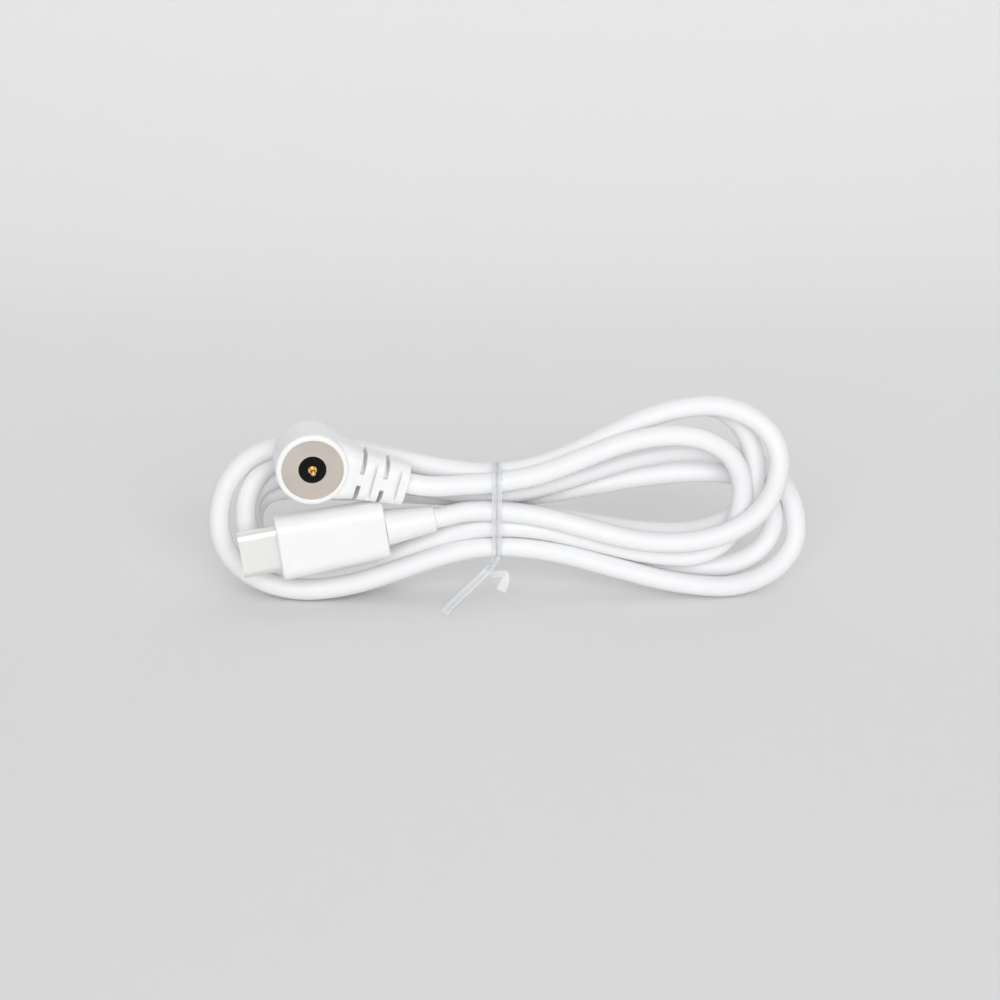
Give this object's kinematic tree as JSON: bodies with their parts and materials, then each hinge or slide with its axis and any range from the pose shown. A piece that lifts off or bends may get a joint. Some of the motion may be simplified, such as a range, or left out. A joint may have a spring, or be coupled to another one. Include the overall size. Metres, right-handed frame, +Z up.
{
  "type": "charging cable",
  "caption": "Charging cable wound in a flat hank under a clear twist tie, with a right-angle round magnetic contact head at one end and a flat reversible plug at the other",
  "frame": {"origin": "on the table, under the middle of the twist tie", "axes": "+X along the hank from the plug's side to the far loops, +Y from the front of the hank to its back, +Z up from the table"},
  "size_m": [0.1057, 0.0231, 0.0369],
  "materials": {
    "white_mould": "satin white overmould",
    "white_soft": "satin soft white elastomer",
    "cable_jacket": "satin white flexible jacket",
    "nickel": "fine satin, slightly warm",
    "nickel_magnet": "bright plated",
    "black_insulator": "dark satin",
    "gold": "polished gold plating",
    "spring_steel": "drawn",
    "steel_shell": "satin nickel plating",
    "inner_mould": "dull natural",
    "core_red": "insulation",
    "core_black": "insulation",
    "board_green": "solder mask",
    "clear_film": "clear glossy plastic"
  },
  "bodies": {
    "cable": {"head_housing": "white_mould", "head_strain_relief": "white_soft", "contact_ring": "nickel", "magnet_ring": "nickel_magnet", "insulator_bush": "black_insulator", "pin_sleeve": "gold", "pin_spring": "spring_steel", "head_inner_mould": "inner_mould", "head_core_signal": "core_red", "head_core_ground": "core_black", "plug_shell": "steel_shell", "plug_contacts_front": "gold", "plug_contacts_back": "gold", "plug_contact_carrier": "black_insulator", "plug_latches": "spring_steel", "plug_board": "board_green", "plug_resistor": "black_insulator", "plug_ferrule": "steel_shell", "plug_cable_end": "cable_jacket", "plug_core_signal": "core_red", "plug_core_ground": "core_black", "plug_overmould": "white_mould", "plug_inner_mould": "inner_mould", "plug_strain_relief": "white_soft", "head_lead": "cable_jacket", "plug_lead": "cable_jacket", "cord_hank": "cable_jacket", "tie_film": "clear_film", "tie_wire": "spring_steel"},
    "centre_pin": {"pin_plunger": "gold"}
  },
  "joints": [
    {"name": "pin_press", "type": "slide", "parent": "cable", "child": "centre_pin", "axis": [-0.1392, 0.9903, 0], "range_m": [0, 0.0012], "stiffness_N_per_m": 600, "deforming": ["pin_spring"]}
  ]
}
